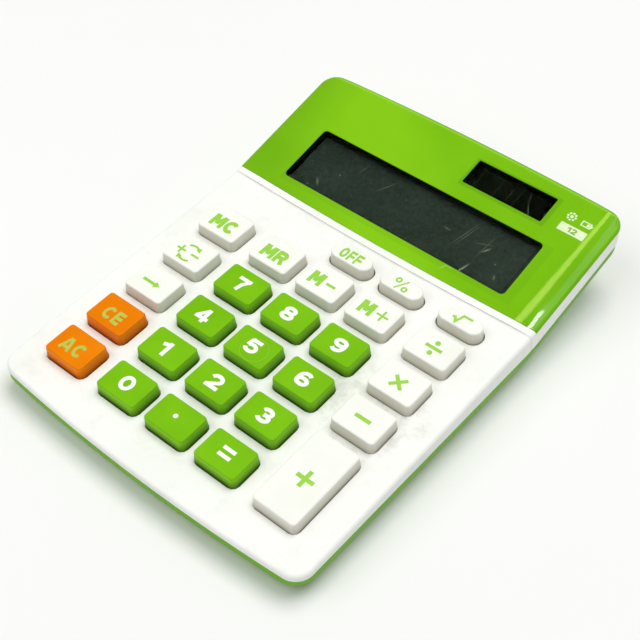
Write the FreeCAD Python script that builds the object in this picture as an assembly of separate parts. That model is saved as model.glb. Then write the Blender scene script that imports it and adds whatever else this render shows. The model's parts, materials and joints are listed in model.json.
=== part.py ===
import FreeCAD, Part
import math
import os

V = FreeCAD.Vector

# Desk calculator, millimetres. X to the right, Y away from the user, Z up.
# Origin on the desk, under the centre of the body.

# Body form. The width is taken at the front, and the sides flare towards the back.
# The display end stands a small step above the deck, behind a bowed crease.
body_width = 115.3
body_depth = 156.6
side_flare = 0.43
front_bow = 2.6
back_bow = 1.2
corner_radius = 5.8
front_height = 10.45
deck_slope = 3.0
display_slope = 13.5
display_depth = 51.4
display_step = 0.55
crease_bow = 1.1
crease_lead = 0.9
shoulder_radius = 1.2
wall = 1.8
deck_thickness = 1.8

# Parting line between the two housings, as heights above the desk
parting_front_z = 8.45
parting_bend_z = 9.2
parting_back_z = 21.7
parting_bend_from_crease = 2.0
parting_bend_radius = 25.0

# Lower housing
foot_height = 1.0
floor_thickness = 2.2
lip_height = 2.9
lip_inset = 0.15
wall_lean = 33.0
smallest_corner = 2.0
lean_corner_extra = 1.5
tongue_thickness = 0.8
tongue_height = 1.5
tongue_clearance = 0.15
rib_thickness = 1.2
rib_height = 1.4
rib_count = 3
rib_spacing = 16.0
rib_margin = 9.0

# Display panel, its windows and what lies under them
panel_thickness = 1.6
panel_gap = 0.15
strip_width = 2.1
crown_run = 13.0
crown_drop = 0.5
seat_wall = 1.8
lcd_side_margin = 14.35
lcd_front_margin = 7.3
lcd_view_radius = 1.5
window_spacing = 6.5
solar_view_width = 29.5
solar_view_height = 10.2
solar_side_margin = 35.1
solar_back_margin = 11.86
solar_view_radius = 0.5
lens_thickness = 0.9
lens_recess = 0.1
lens_flange = 1.4
lens_flange_thickness = 0.6
lens_clearance = 0.1
frame_rim = 3.0
frame_thickness = 1.6
glass_rim = 2.0
glass_thickness = 2.2
holder_rim = 1.6
holder_floor = 1.2
holder_view_rim = 6.0
solar_cell_rim = 1.8
solar_cell_thickness = 1.1
fit = 0.2

# Keys. Margins and rows run to the centres of the keys, and the spacings are the gaps between them.
outer_column_margin = 17.25
outer_column_gap = 2.4
front_row_margin = 17.8
row_count = 5
oval_row_from_crease = 10.05
oval_front_gap = 1.815
digit_spacing = (3.0, 3.73)
function_spacing = (2.4, 3.38)
operator_spacing = (2.4, 3.13)
oval_spacing = 3.2
oval_depth = 6.8
oval_flat = 0.5
key_radius = 2.2
key_height = 4.15
key_taper = 0.3
key_bevel = 0.4
key_wall = 1.2
key_top = 1.4
key_gap = 0.35
flange_overlap = 0.65
flange_thickness = 0.8
flange_clearance = 0.2
post_width = 3.2
post_drop = 0.4

# Rubber sheet with one hollow dome under each key
dome_clearance = 0.1
dome_height = 2.0
dome_base_radius = 3.4
dome_top_radius = 2.2
dome_skin = 0.5
dome_sides = 8
sheet_thickness = 0.8
sheet_margin = 4.0

# Circuit board
board_thickness = 1.2
board_side_margin = 3.45
board_front_margin = 0.4
board_back_from_crease = 1.0
board_screw_margin = 2.2
board_screw_rows = (0.4, 2.5, 4.6)
board_boss_radius = 1.9
chip_x = -12.0
chip_from_crease = 30.0
chip_radius = 7.0
chip_height = 1.4
chip_sides = 16
chip_steps = 3

# Sides of round bars that repeat, and steps round the corner of a key
bar_sides = 10
key_corner_steps = 3
oval_corner_steps = 6

# Fasteners
screw_radius = 1.0
screw_hole_clearance = 0.05
screw_head_radius = 1.8
screw_head_height = 0.9
board_screw_bite = 2.4
case_boss_radius = 2.2
case_tube_radius = 3.2
case_screw_front = (12.0, 7.8)
case_screw_crease = (8.0, 3.4)
case_joint_front_z = 6.3
case_joint_back_z = 9.2
case_joint_gap = 0.2
case_screw_bite = 2.2
case_head_depth = 1.2

# Button cell, its cup and its door
cell_from_back = 28.0
cell_radius = 5.8
cell_height = 5.4
cup_clearance = 0.4
cup_wall = 1.4
cup_top_above_cell = 1.1
door_length = 28.0
door_width = 18.0
door_thickness = 1.4
door_radius = 2.5
door_gap = 0.2
door_foot_gap = 2.5
door_cell_shift = 5.0
door_screw_shift = 9.0
contact_thickness = 0.2
contact_width = 4.0
contact_tail = 2.6
contact_tongue = 3.0
bend_radius = 0.5
lead_radius = 0.45
lead_bend_radius = 2.5
lead_seat = 0.05
lead_landing = 8.0
solar_lead_drop = 6.0
solar_lead_reach = 4.5

# Ribbon between the display glass and the board
ribbon_side_margin = 8.0
ribbon_thickness = 0.2
ribbon_overlap = 3.0
ribbon_slot_margin = 1.5

# Feet
foot_radius = 4.5
foot_sink = 0.6
foot_front = (12.0, 15.2)
foot_back = (22.0, 22.0)

# Derived places
y_front = -body_depth / 2
y_back = body_depth / 2
crease_from_front = body_depth - display_depth
y_crease = y_front + crease_from_front
z_crease = front_height + crease_from_front * math.tan(math.radians(deck_slope))
far = body_depth * 2
sky = body_depth
deck = FreeCAD.Placement(V(0, y_crease, z_crease), FreeCAD.Rotation(V(1, 0, 0), deck_slope))
z_display = z_crease + display_step
display = FreeCAD.Placement(V(0, y_crease, z_display), FreeCAD.Rotation(V(1, 0, 0), display_slope))
side_view = FreeCAD.Placement(V(0, 0, 0), FreeCAD.Rotation(V(1, 1, 1), 120))
display_run = display_depth / math.cos(math.radians(display_slope))
flare_rate = math.tan(math.radians(side_flare))
back_half_width = body_width / 2 + body_depth * flare_rate
crease_swing = ((body_width / 2) ** 2 + crease_bow**2) / (2 * crease_bow)
solar_view_x = body_width / 2 - solar_side_margin
solar_view_from_crease = display_run - solar_back_margin
lcd_view_width = body_width - 2 * lcd_side_margin
lcd_back = solar_view_from_crease - solar_view_height / 2 - window_spacing
lcd_view_height = lcd_back - lcd_front_margin
lcd_view_from_crease = lcd_back - lcd_view_height / 2
ribbon_width = lcd_view_width - 2 * ribbon_side_margin
outer_column = body_width / 2 - outer_column_margin
digit_pitch = (outer_column - outer_column_gap) / 2
first_row_from_crease = crease_from_front - front_row_margin
rows_from_crease = oval_row_from_crease + oval_depth / 2 + oval_front_gap
row_pitch = (first_row_from_crease - rows_from_crease) / (row_count - 0.5)
board_half_width = body_width / 2 - board_side_margin
board_screw_x = board_half_width - board_screw_margin
flange_top = -deck_thickness - flange_clearance
flange_bottom = flange_top - flange_thickness
post_bottom = flange_bottom - post_drop
dome_top = post_bottom - dome_clearance
sheet_top = dome_top - dome_height
board_top = sheet_top - sheet_thickness
board_bottom = board_top - board_thickness
seat_depth = panel_thickness
roof_depth = panel_thickness + seat_wall
glass_top = -panel_thickness - frame_thickness
glass_bottom = glass_top - glass_thickness
flange_reach = key_gap + flange_overlap
floor_top = foot_height + floor_thickness
screw_hole_radius = screw_radius + screw_hole_clearance
case_head_seat = foot_height + case_head_depth + screw_head_height


def moved(shape, place):
    copy = shape.copy()
    copy.Placement = place.multiply(copy.Placement)
    return copy


def at(x, y, z):
    return FreeCAD.Placement(V(x, y, z), FreeCAD.Rotation())


def mirrored(point):
    return V(-point.x, point.y, point.z)


def rounded(points):
    """Closed wire through (u, v, radius) corners, with tangent arcs at the corners."""
    turns = []
    for i, (u, v, radius) in enumerate(points):
        corner = V(u, v, 0)
        before = (V(*points[i - 1][:2], 0) - corner).normalize()
        after = (V(*points[(i + 1) % len(points)][:2], 0) - corner).normalize()
        if not radius:
            turns.append((corner, None, corner))
            continue
        half = before.getAngle(after) / 2
        reach = radius / math.tan(half)
        inward = (before + after).normalize()
        middle = corner + inward * (radius / math.sin(half) - radius)
        turns.append((corner + before * reach, middle, corner + after * reach))
    edges = []
    for i, (start, middle, end) in enumerate(turns):
        if middle:
            edges.append(Part.Arc(start, middle, end).toShape())
        following = turns[(i + 1) % len(turns)][0]
        if (following - end).Length > 1e-6:
            edges.append(Part.makeLine(end, following))
    return Part.Wire(edges)


def rectangle(width, height, radius=0.0):
    u, v = width / 2, height / 2
    return rounded([(-u, -v, radius), (u, -v, radius), (u, v, radius), (-u, v, radius)])


def stepped_rectangle(width, height, radius, steps, level):
    """Ring of points round a rectangle whose corners turn in a few straight steps."""
    points = []
    for quarter, (u, v) in enumerate([(1, 1), (-1, 1), (-1, -1), (1, -1)]):
        hub = V(u * (width / 2 - radius), v * (height / 2 - radius), level)
        for i in range(steps + 1):
            turn = math.radians(90 * (quarter + i / steps))
            points.append(hub + V(math.cos(turn), math.sin(turn), 0) * radius)
    return points


def stacked(rings):
    """Flat-sided solid over closed rings of points, from the lowest ring to the highest."""
    faces = [Part.Face(Part.makePolygon(ring + ring[:1])) for ring in (rings[0], rings[-1])]
    for low, high in zip(rings, rings[1:]):
        for i in range(len(low)):
            corners = [low[i - 1], low[i], high[i], high[i - 1]]
            faces.append(Part.Face(Part.makePolygon(corners + corners[:1])))
    return Part.Solid(Part.Shell(faces))


def polygon(radius, level, sides, x=0.0, y=0.0):
    turns = [2 * math.pi * i / sides for i in range(sides)]
    return [V(x + radius * math.cos(t), y + radius * math.sin(t), level) for t in turns]


def bar(radius, low, high, x=0.0, y=0.0):
    """Upright many-sided bar or hole for what repeats, such as bosses and screws."""
    return cone(radius, radius, low, high, x, y, bar_sides)


def cone(low_radius, high_radius, low, high, x, y, sides):
    return stacked([polygon(low_radius, low, sides, x, y), polygon(high_radius, high, sides, x, y)])


def plate(width, height, low, high, radius=0.0):
    """Upright plate about the Z axis between two levels."""
    solid = Part.Face(rectangle(width, height, radius)).extrude(V(0, 0, high - low))
    return moved(solid, at(0, 0, low))


def side_solid(points, half_width=far):
    """Profile of (y, z, radius) corners, extruded across the body."""
    solid = moved(Part.Face(rounded(points)).extrude(V(0, 0, 2 * half_width)), at(0, 0, -half_width))
    return moved(solid, side_view)


def yz(place, along, normal, radius=0.0):
    point = place.multVec(V(0, along, normal))
    return (point.y, point.z, radius)


def outline(inset, front=y_front, back=y_back, round_extra=0.0):
    """Plan of the body: flared sides, bowed ends and round corners, all moved in by inset."""
    corner = max(corner_radius + round_extra - inset, smallest_corner)
    along = V(flare_rate, 1, 0).normalize()
    outward = V(along.y, -along.x, 0)
    side = V(body_width / 2, y_front, 0) - outward * (inset + corner)

    def end(tip, bow, way):
        swing = ((body_width / 2) ** 2 + bow**2) / (2 * bow) - inset
        hub = V(0, tip + way * (inset + swing), 0)
        reach = side - hub
        run = reach.dot(along)
        root = math.sqrt(run**2 - reach.dot(reach) + (swing - corner) ** 2)
        centre = side + along * (-run - way * root)
        radial = (centre - hub).normalize()
        touch = hub + radial * swing
        middle = centre + (radial + outward).normalize() * corner
        return V(0, tip + way * inset, 0), touch, middle, centre + outward * corner

    tip_a, touch_a, middle_a, side_a = end(front, front_bow, 1)
    tip_b, touch_b, middle_b, side_b = end(back, back_bow, -1)
    return Part.Wire(
        [
            Part.Arc(mirrored(touch_a), tip_a, touch_a).toShape(),
            Part.Arc(touch_a, middle_a, side_a).toShape(),
            Part.makeLine(side_a, side_b),
            Part.Arc(side_b, middle_b, touch_b).toShape(),
            Part.Arc(touch_b, tip_b, mirrored(touch_b)).toShape(),
            Part.Arc(mirrored(touch_b), mirrored(middle_b), mirrored(side_b)).toShape(),
            Part.makeLine(mirrored(side_b), mirrored(side_a)),
            Part.Arc(mirrored(side_a), mirrored(middle_a), mirrored(touch_a)).toShape(),
        ]
    )


def prism(inset):
    return Part.Face(outline(inset)).extrude(V(0, 0, sky))


def parting_points(lift):
    """Parting line as seen from the side, run on past both ends of the body."""
    bend_y = y_crease + parting_bend_from_crease
    front_rate = (parting_bend_z - parting_front_z) / (bend_y - y_front)
    back_rate = (parting_back_z - parting_bend_z) / (y_back - bend_y)
    front_end = (-far, parting_bend_z - front_rate * (far + bend_y) + lift, 0)
    back_end = (far, parting_bend_z + back_rate * (far - bend_y) + lift, 0)
    return [front_end, (bend_y, parting_bend_z + lift, parting_bend_radius), back_end]


def above_parting(lift=0.0):
    return side_solid(parting_points(lift) + [(far, far, 0), (-far, far, 0)])


def below_parting(lift=0.0):
    return side_solid(parting_points(lift) + [(far, -far, 0), (-far, -far, 0)])


def display_block(low, high, front=0.0):
    """Slab along the display plane, behind a line that follows the crease at a distance."""
    tip = front - crease_lead
    rise = crease_swing - math.sqrt(crease_swing**2 - body_width**2)
    left, right = V(-body_width, tip + rise, low), V(body_width, tip + rise, low)
    back_left, back_right = V(-body_width, far, low), V(body_width, far, low)
    sides = Part.makePolygon([right, back_right, back_left, left])
    line = Part.Wire([Part.Arc(left, V(0, tip, low), right).toShape(), *sides.Edges])
    return moved(Part.Face(line).extrude(V(0, 0, high - low)), display)


def crown():
    """Everything under the top of the display end, flat in the middle and easing down to both sides."""
    bend = (crown_run**2 + crown_drop**2) / (2 * crown_drop)
    start = back_half_width - crown_run

    def on_arc(run):
        return V(start + run, 0, math.sqrt(bend**2 - run**2) - bend)

    middle, end = on_arc(crown_run / 2), on_arc(crown_run)
    outer, low = end + V(far, 0, 0), end + V(far, 0, -far)
    begin = on_arc(0)
    right = [Part.Arc(begin, middle, end).toShape(), Part.makeLine(end, outer), Part.makeLine(outer, low)]
    left = [
        Part.makeLine(mirrored(low), mirrored(outer)),
        Part.makeLine(mirrored(outer), mirrored(end)),
        Part.Arc(mirrored(end), mirrored(middle), mirrored(begin)).toShape(),
    ]
    joins = [Part.makeLine(low, mirrored(low)), Part.makeLine(mirrored(begin), begin)]
    section = Part.Face(Part.Wire(Part.sortEdges(right + left + joins)[0]))
    return moved(moved(section.extrude(V(0, 2 * far, 0)), at(0, -far, 0)), display)


def shouldered(form):
    """Form with its upper outer edges rounded."""
    edges = []
    for face in form.Faces:
        u0, u1, v0, v1 = face.ParameterRange
        if abs(face.normalAt((u0 + u1) / 2, (v0 + v1) / 2).z) > 0.1:
            continue
        for edge in face.Edges:
            middle = edge.valueAt((edge.FirstParameter + edge.LastParameter) / 2)
            flat = abs(edge.tangentAt(edge.FirstParameter).z) < 0.5
            if flat and middle.z > foot_height:
                edges.append(edge)
    return form.makeFillet(shoulder_radius, edges)


def body_form():
    """Full outer form of the body: the deck, and the crowned display end standing above it."""
    under_deck = Part.makeBox(2 * far, 2 * far, far, V(-far, -far, -far))
    deck_form = shouldered(prism(0).common(moved(under_deck, deck)))
    end_form = shouldered(prism(0).common(crown()).common(display_block(-far, far)))
    return deck_form.fuse(end_form).removeSplitter()


def key_places():
    """Name, size, corner radius, corner steps and deck place of every key."""
    columns = (-outer_column, -digit_pitch, 0.0, digit_pitch, outer_column)

    def row(number):
        return number * row_pitch - first_row_from_crease

    def key_size(spacing):
        return digit_pitch - spacing[0], row_pitch - spacing[1]

    digit_key = key_size(digit_spacing)
    function_key = key_size(function_spacing)
    operator_key = key_size(operator_spacing)
    tall_key = (operator_key[0], operator_key[1] + row_pitch)
    oval_key = (digit_pitch - oval_spacing, oval_depth)
    groups = [
        (function_key, [("ac", 0, 0), ("ce", 0, 1), ("back", 0, 2), ("sign", 0, 3), ("mc", 0, 4)]),
        (digit_key, [("0", 1, 0), ("point", 2, 0), ("equals", 3, 0)]),
        (digit_key, [(str(n), 1 + (n - 1) % 3, 1 + (n - 1) // 3) for n in range(1, 10)]),
        (function_key, [("mr", 1, 4), ("m_minus", 2, 4), ("m_plus", 3, 4)]),
        (operator_key, [("minus", 4, 2), ("times", 4, 3), ("divide", 4, 4)]),
        (tall_key, [("plus", 4, 0.5)]),
    ]
    places = []
    for size, keys in groups:
        corner = (key_radius, key_corner_steps)
        places += [("key_" + name, size, corner, columns[c], row(r)) for name, c, r in keys]
    corner = (oval_depth / 2 - oval_flat / 2, oval_corner_steps)
    for name, c in (("off", 2), ("percent", 3), ("root", 4)):
        places.append(("key_" + name, oval_key, corner, columns[c], -oval_row_from_crease))
    return places


def key_cap(size, corner):
    """Hollow tapered cap with a bevelled top, a flange under the deck and a centre post."""
    width, depth = size
    radius, steps = corner

    def ring(inset, level):
        return stepped_rectangle(width - 2 * inset, depth - 2 * inset, radius - inset, steps, level)

    rings = [
        ring(0, flange_top),
        ring(0, 0),
        ring(key_taper, key_height - key_bevel),
        ring(key_taper + key_bevel, key_height),
    ]
    cap = stacked(rings)
    reach = 2 * flange_reach
    cap = cap.fuse(plate(width + reach, depth + reach, flange_bottom, flange_top))
    inner = 2 * (key_wall + key_taper)
    cap = cap.cut(plate(width - inner, depth - inner, flange_bottom, key_height - key_top))
    return cap.fuse(plate(post_width, post_width, post_bottom, key_height - key_top)).removeSplitter()


def key_opening(size, corner):
    width, depth = size
    radius, steps = corner
    grow = 2 * key_gap
    rings = []
    for level in (flange_bottom, key_height):
        rings.append(stepped_rectangle(width + grow, depth + grow, radius + key_gap, steps, level))
    return stacked(rings)


def board_screw_places():
    rows = [n * row_pitch - first_row_from_crease for n in board_screw_rows]
    return [(side * board_screw_x, along) for side in (-1, 1) for along in rows]


def side_pair(margin, y):
    """X and Y of a left and a right place, from their margin to the sides."""
    x = body_width / 2 - margin
    return [(-x, y), (x, y)]


def case_screw_places():
    """X, Y and height of the joint between the two boss halves."""
    margin, from_front = case_screw_front
    front = [(x, y, case_joint_front_z) for x, y in side_pair(margin, y_front + from_front)]
    margin, behind_crease = case_screw_crease
    back = [(x, y, case_joint_back_z) for x, y in side_pair(margin, y_crease + behind_crease)]
    return front + back


def window(width, height, radius, centre_x, from_crease, low, high):
    """Plate in the display frame, used for windows, lenses and what lies under them."""
    solid = plate(width, height, low, high, radius)
    return moved(moved(solid, at(centre_x, from_crease, 0)), display)


def lcd_window(grow, low, high, radius=lcd_view_radius):
    return window(
        lcd_view_width + 2 * grow,
        lcd_view_height + 2 * grow,
        radius,
        0,
        lcd_view_from_crease,
        low,
        high,
    )


def solar_window(grow, low, high, radius=solar_view_radius):
    return window(
        solar_view_width + 2 * grow,
        solar_view_height + 2 * grow,
        radius,
        solar_view_x,
        solar_view_from_crease,
        low,
        high,
    )


def below_roof(drop=0.0):
    """Everything under the inner face of the deck and of the panel's seat, lowered by drop."""
    under_deck, under_seat = -deck_thickness - drop, -roof_depth - drop
    line = [
        yz(deck, -far, under_deck),
        yz(deck, -wall, under_deck),
        yz(display, -wall, under_seat),
        yz(display, far, under_seat),
    ]
    return side_solid(line + [(far, -far, 0), (-far, -far, 0)])


def make_upper_housing(form, keys):
    shell = form.common(above_parting())
    shell = shell.cut(display_block(-seat_depth, far, strip_width))
    cavity = prism(wall).common(below_roof())
    shell = shell.cut(cavity)
    bosses = []
    for x, along in board_screw_places():
        boss = bar(board_boss_radius, board_top, -deck_thickness, x, along)
        hole = bar(screw_hole_radius, board_top, board_top + board_screw_bite, x, along)
        bosses.append(moved(boss.cut(hole), deck))
    for x, y, joint in case_screw_places():
        foot = joint + case_joint_gap
        boss = bar(case_boss_radius, foot, sky, x, y).common(cavity)
        bosses.append(boss.cut(bar(screw_hole_radius, foot, foot + case_screw_bite, x, y)))
    shell = shell.fuse(bosses)
    cuts = [moved(moved(key_opening(size, c), at(x, s, 0)), deck) for _, size, c, x, s in keys]
    cuts.append(lcd_window(frame_rim + fit, -far, 0, 0))
    cuts.append(solar_window(solar_cell_rim + fit, -seat_depth - solar_cell_thickness, 0, 0))
    cuts.append(solar_window(-solar_cell_rim, -far, 0, 0))
    return shell.cut(cuts).removeSplitter()


def make_display_panel(form):
    panel = form.common(display_block(-panel_thickness, far, strip_width + panel_gap))
    rebate_top = -panel_thickness + lens_flange_thickness + lens_clearance
    rim = lens_flange + lens_clearance
    cuts = [
        lcd_window(0, -far, far),
        lcd_window(rim, -far, rebate_top, 0),
        solar_window(0, -far, far),
        solar_window(rim, -far, rebate_top, 0),
    ]
    return panel.cut(cuts)


def make_lens(view):
    top = -lens_recess
    stem = view(-lens_clearance, -panel_thickness, top)
    flange = view(lens_flange, -panel_thickness, -panel_thickness + lens_flange_thickness, 0)
    relief = view(-lens_flange, -panel_thickness, top - lens_thickness, 0)
    return stem.fuse(flange).cut(relief).removeSplitter()


def make_display_frame():
    ring = lcd_window(frame_rim, glass_top, -panel_thickness, 0)
    return ring.cut(lcd_window(0, -far, far))


def make_lcd_holder():
    """Tray that holds the display glass up against the black frame from below."""
    tray = lcd_window(glass_rim + fit + holder_rim, glass_bottom - holder_floor, -roof_depth, 0)
    tray = tray.cut(lcd_window(glass_rim + fit, glass_bottom, 0, 0))
    tray = tray.cut(lcd_window(-holder_view_rim, -far, 0, 0))
    slot_width = ribbon_width + 2 * ribbon_slot_margin
    reach = 2 * (holder_rim + fit + ribbon_overlap + ribbon_slot_margin)
    front = lcd_view_from_crease - lcd_view_height / 2 - glass_rim - fit - holder_rim
    slot = window(slot_width, reach, 0, 0, front, -far, 0)
    return tray.cut(slot)


def band(points, width, thickness, radius):
    """Bent strip of even thickness along a polyline of (u, v), centred across its width."""
    path = [V(u, v, 0) for u, v in points]
    left, right = [], []
    for i, point in enumerate(path):
        ahead = (path[min(i + 1, len(path) - 1)] - path[min(i, len(path) - 2)]).normalize()
        behind = (path[max(i, 1)] - path[max(i - 1, 0)]).normalize()
        normal_a, normal_b = V(-behind.y, behind.x, 0), V(-ahead.y, ahead.x, 0)
        mitre = (normal_a + normal_b).normalize()
        reach = thickness / 2 / mitre.dot(normal_a)
        turn = behind.cross(ahead).z
        inner, outer = radius - thickness / 2, radius + thickness / 2
        bent = abs(turn) > 1e-6
        left.append((point + mitre * reach, (inner if turn > 0 else outer) * bent))
        right.append((point - mitre * reach, (outer if turn > 0 else inner) * bent))
    ring = [(p.x, p.y, r) for p, r in left + right[::-1]]
    return moved(Part.Face(rounded(ring)).extrude(V(0, 0, width)), at(0, 0, -width / 2))


def make_ribbon():
    on_board = board_top + ribbon_thickness / 2
    under_glass = glass_bottom - ribbon_thickness / 2
    front = lcd_view_from_crease - lcd_view_height / 2 - glass_rim
    end = sheet_margin - oval_row_from_crease
    points = [
        yz(deck, end + fit, on_board)[:2],
        yz(deck, -2 * board_back_from_crease, on_board)[:2],
        yz(display, front - ribbon_slot_margin, under_glass)[:2],
        yz(display, front + ribbon_overlap, under_glass)[:2],
    ]
    return moved(band(points, ribbon_width, ribbon_thickness, bend_radius), side_view)


def tub(extra, front_part):
    """Leaning walls of the lower housing below the lip, for the front or the back stretch."""
    lean = math.tan(math.radians(wall_lean))
    bend_y = y_crease + parting_bend_from_crease
    tip, level, front, back = y_back, parting_back_z, -far, y_back
    if front_part:
        tip, level, front, back = y_front, parting_front_z, y_front, far
    slope = math.degrees(math.atan((parting_bend_z - level) / (bend_y - tip)))
    place = FreeCAD.Placement(V(0, tip, level - lip_height), FreeCAD.Rotation(V(1, 0, 0), slope))
    corner_end = (corner_radius + lean_corner_extra - smallest_corner - lip_inset - extra) / lean
    wires = []
    for height in (-parting_back_z, -corner_end, sky / 2):
        wire = outline(lip_inset + extra - height * lean, front, back, lean_corner_extra)
        wires.append(moved(wire, at(0, -tip, height)))
    return moved(Part.makeLoft(wires, True, True), place)


def lower_form(extra, base):
    """Outer or inner form of the lower housing, moved in by extra and standing on base."""
    block = Part.makeBox(2 * far, 2 * far, sky, V(-far, -far, base))
    form = prism(lip_inset + extra).common(below_parting()).common(block)
    return form.common(tub(extra, True)).common(tub(extra, False))


def cell_place():
    door_x, _, door_y = door_places()
    return door_x - door_cell_shift, door_y, foot_height + door_thickness + lead_seat


def door_places():
    """X of the door's centre and of its screw, and their common Y."""
    left_foot = foot_back[0] - body_width / 2
    door_x = left_foot + foot_radius + door_foot_gap + door_length / 2
    return door_x, door_x + door_screw_shift, y_back - cell_from_back


def make_tongue():
    """Rim inside the parting line that locates the upper housing."""
    inner = prism(wall + tongue_clearance + tongue_thickness)
    tongue = prism(wall + tongue_clearance).cut(inner)
    tongue = tongue.common(below_parting(tongue_height)).common(above_parting(-tongue_height))
    tongue = tongue.common(below_roof(tongue_clearance))
    root = prism(lip_inset + wall / 2).cut(inner)
    return tongue.fuse(root.common(below_parting()).common(above_parting(-tongue_height)))


def make_floor_ribs():
    length = body_width - 2 * rib_margin
    middle = y_front + crease_from_front / 2
    ribs = []
    for i in range(rib_count):
        y = middle + (i - (rib_count - 1) / 2) * rib_spacing
        ribs.append(Part.makeBox(length, rib_thickness, rib_height, V(-length / 2, y, floor_top)))
    return ribs


def make_lower_housing():
    outer = lower_form(0, foot_height)
    shell = outer.cut(lower_form(wall, floor_top))
    cell_at_x, cell_at_y, cell_z = cell_place()
    door_x, screw_x, door_y = door_places()
    cup_radius = cell_radius + cup_clearance
    cup_top = cell_z + cell_height + cup_top_above_cell
    adds = [make_tongue(), *make_floor_ribs()]
    for x, y, joint in case_screw_places():
        adds.append(bar(case_tube_radius, foot_height, joint, x, y).common(outer))
    adds.append(bar(cup_radius + cup_wall, foot_height, cup_top, cell_at_x, cell_at_y))
    adds.append(bar(case_boss_radius, foot_height, cup_top, screw_x, door_y))
    shell = shell.fuse(adds)
    door_top = foot_height + door_thickness
    door = plate(door_length + 2 * door_gap, door_width + 2 * door_gap, 0, door_top, door_radius)
    slot_width = contact_width + 2 * fit
    slot = Part.makeBox(
        cup_radius + cup_wall / 2, slot_width, sky, V(cell_at_x, cell_at_y - slot_width / 2, door_top)
    )
    cuts = [
        moved(door, at(door_x, door_y, 0)),
        bar(cup_radius, 0, sky, cell_at_x, cell_at_y),
        slot,
        bar(screw_hole_radius, 0, cup_top - wall, screw_x, door_y),
    ]
    for x, y, joint in case_screw_places():
        cuts.append(bar(screw_hole_radius, 0, joint, x, y))
        cuts.append(bar(screw_head_radius + fit, 0, case_head_seat, x, y))
    cuts += [foot(foot_radius + fit, x, y) for x, y in foot_places()]
    return shell.cut(cuts).removeSplitter()


def screw(length):
    """Pan head screw pointing up, with its head under the origin."""
    head = bar(screw_head_radius, -screw_head_height, 0)
    return bar(screw_radius, 0, length).fuse(head).removeSplitter()


def make_case_screws():
    solids = []
    for x, y, joint in case_screw_places():
        length = joint + case_screw_bite - case_head_seat
        solids.append(moved(screw(length), at(x, y, case_head_seat)))
    return Part.Compound(solids)


def make_board_screws():
    length = board_thickness + board_screw_bite - fit
    places = [at(x, s, board_bottom) for x, s in board_screw_places()]
    return Part.Compound([moved(moved(screw(length), place), deck) for place in places])


def sheet_span(keys):
    """Front and back edge of the rubber sheet, along the deck."""
    along = [s for _, _, _, _, s in keys]
    return min(along) - sheet_margin - dome_base_radius / 2, max(along) + sheet_margin


def make_rubber_keypad(keys):
    front, back = sheet_span(keys)
    half = board_screw_x - board_boss_radius - fit
    sheet = Part.makeBox(2 * half, back - front, sheet_thickness, V(-half, front, board_top))
    inner_base, inner_top = dome_base_radius - dome_skin, dome_top_radius - dome_skin
    domes, hollows = [], []
    for _, _, _, x, s in keys:
        domes.append(cone(dome_base_radius, dome_top_radius, sheet_top, dome_top, x, s, dome_sides))
        hollows.append(cone(inner_base, inner_top, board_top, dome_top - dome_skin, x, s, dome_sides))
    return moved(sheet.fuse(domes).cut(hollows).removeSplitter(), deck)


def make_main_board(keys):
    front = sheet_span(keys)[0] - board_front_margin
    length = -board_back_from_crease - front
    corner = V(-board_half_width, front, board_bottom)
    board = Part.makeBox(2 * board_half_width, length, board_thickness, corner)
    holes = [bar(screw_hole_radius, board_bottom, board_top, x, s) for x, s in board_screw_places()]
    return moved(board.cut(holes), deck)


def make_chip_cover():
    """Low drop of resin under the board, in a few flat steps."""
    turns = [math.pi / 2 * i / (chip_steps + 1) for i in range(chip_steps + 1)]
    rings = [polygon(chip_radius * math.cos(t), -chip_height * math.sin(t), chip_sides) for t in turns]
    return moved(moved(stacked(rings), at(chip_x, -chip_from_crease, board_bottom)), deck)


def contact_strip(points):
    """Strip bent in the XZ plane, set at the cell."""
    cell_at_x, cell_at_y, _ = cell_place()
    strip = band(points, contact_width, contact_thickness, bend_radius)
    strip = moved(strip, FreeCAD.Placement(V(0, 0, 0), FreeCAD.Rotation(V(1, 0, 0), 90)))
    return moved(strip, at(cell_at_x, cell_at_y, 0))


def contact_levels():
    """Height of the strip where it lies on the cup, and where it meets the cell."""
    cell_z = cell_place()[2]
    half = contact_thickness / 2
    return cell_z + cell_height + cup_top_above_cell + half, cell_z + cell_height + half + lead_seat


def contact_end():
    return cell_radius + cup_clearance + cup_wall + contact_tail


def make_contact_minus():
    rim, touch = contact_levels()
    half = contact_tongue / 2
    return contact_strip([(-contact_end(), rim), (-contact_tongue, rim), (-half, touch), (half, touch)])


def make_contact_plus():
    rim, _ = contact_levels()
    side = cell_radius + lead_seat + contact_thickness / 2
    return contact_strip([(side, cell_place()[2] + cell_height / 2), (side, rim), (contact_end(), rim)])


def lead(x, points):
    """Square wire in the upright plane at x, along (y, z) points."""
    wire = moved(band(points, 2 * lead_radius, 2 * lead_radius, lead_bend_radius), side_view)
    return moved(wire, at(x, 0, 0))


def board_landing(from_crease):
    """Y and Z just under the board where a wire runs or ends."""
    return yz(deck, -from_crease, board_bottom - lead_radius - lead_seat)[:2]


def lead_tail():
    """Last points of a wire: behind the board, down to its level, and on under it."""
    return [(y_crease + lead_bend_radius, board_landing(0)[1]), board_landing(lead_landing)]


def make_battery_leads():
    cell_at_x, cell_at_y, _ = cell_place()
    rim = contact_levels()[0] + contact_thickness / 2 + lead_radius + lead_seat
    path = [(cell_at_y + contact_width / 2, rim), (cell_at_y - cell_radius, rim)] + lead_tail()
    reach = contact_end() - contact_tail / 2
    return Part.Compound([lead(cell_at_x + side * reach, path) for side in (-1, 1)])


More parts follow.
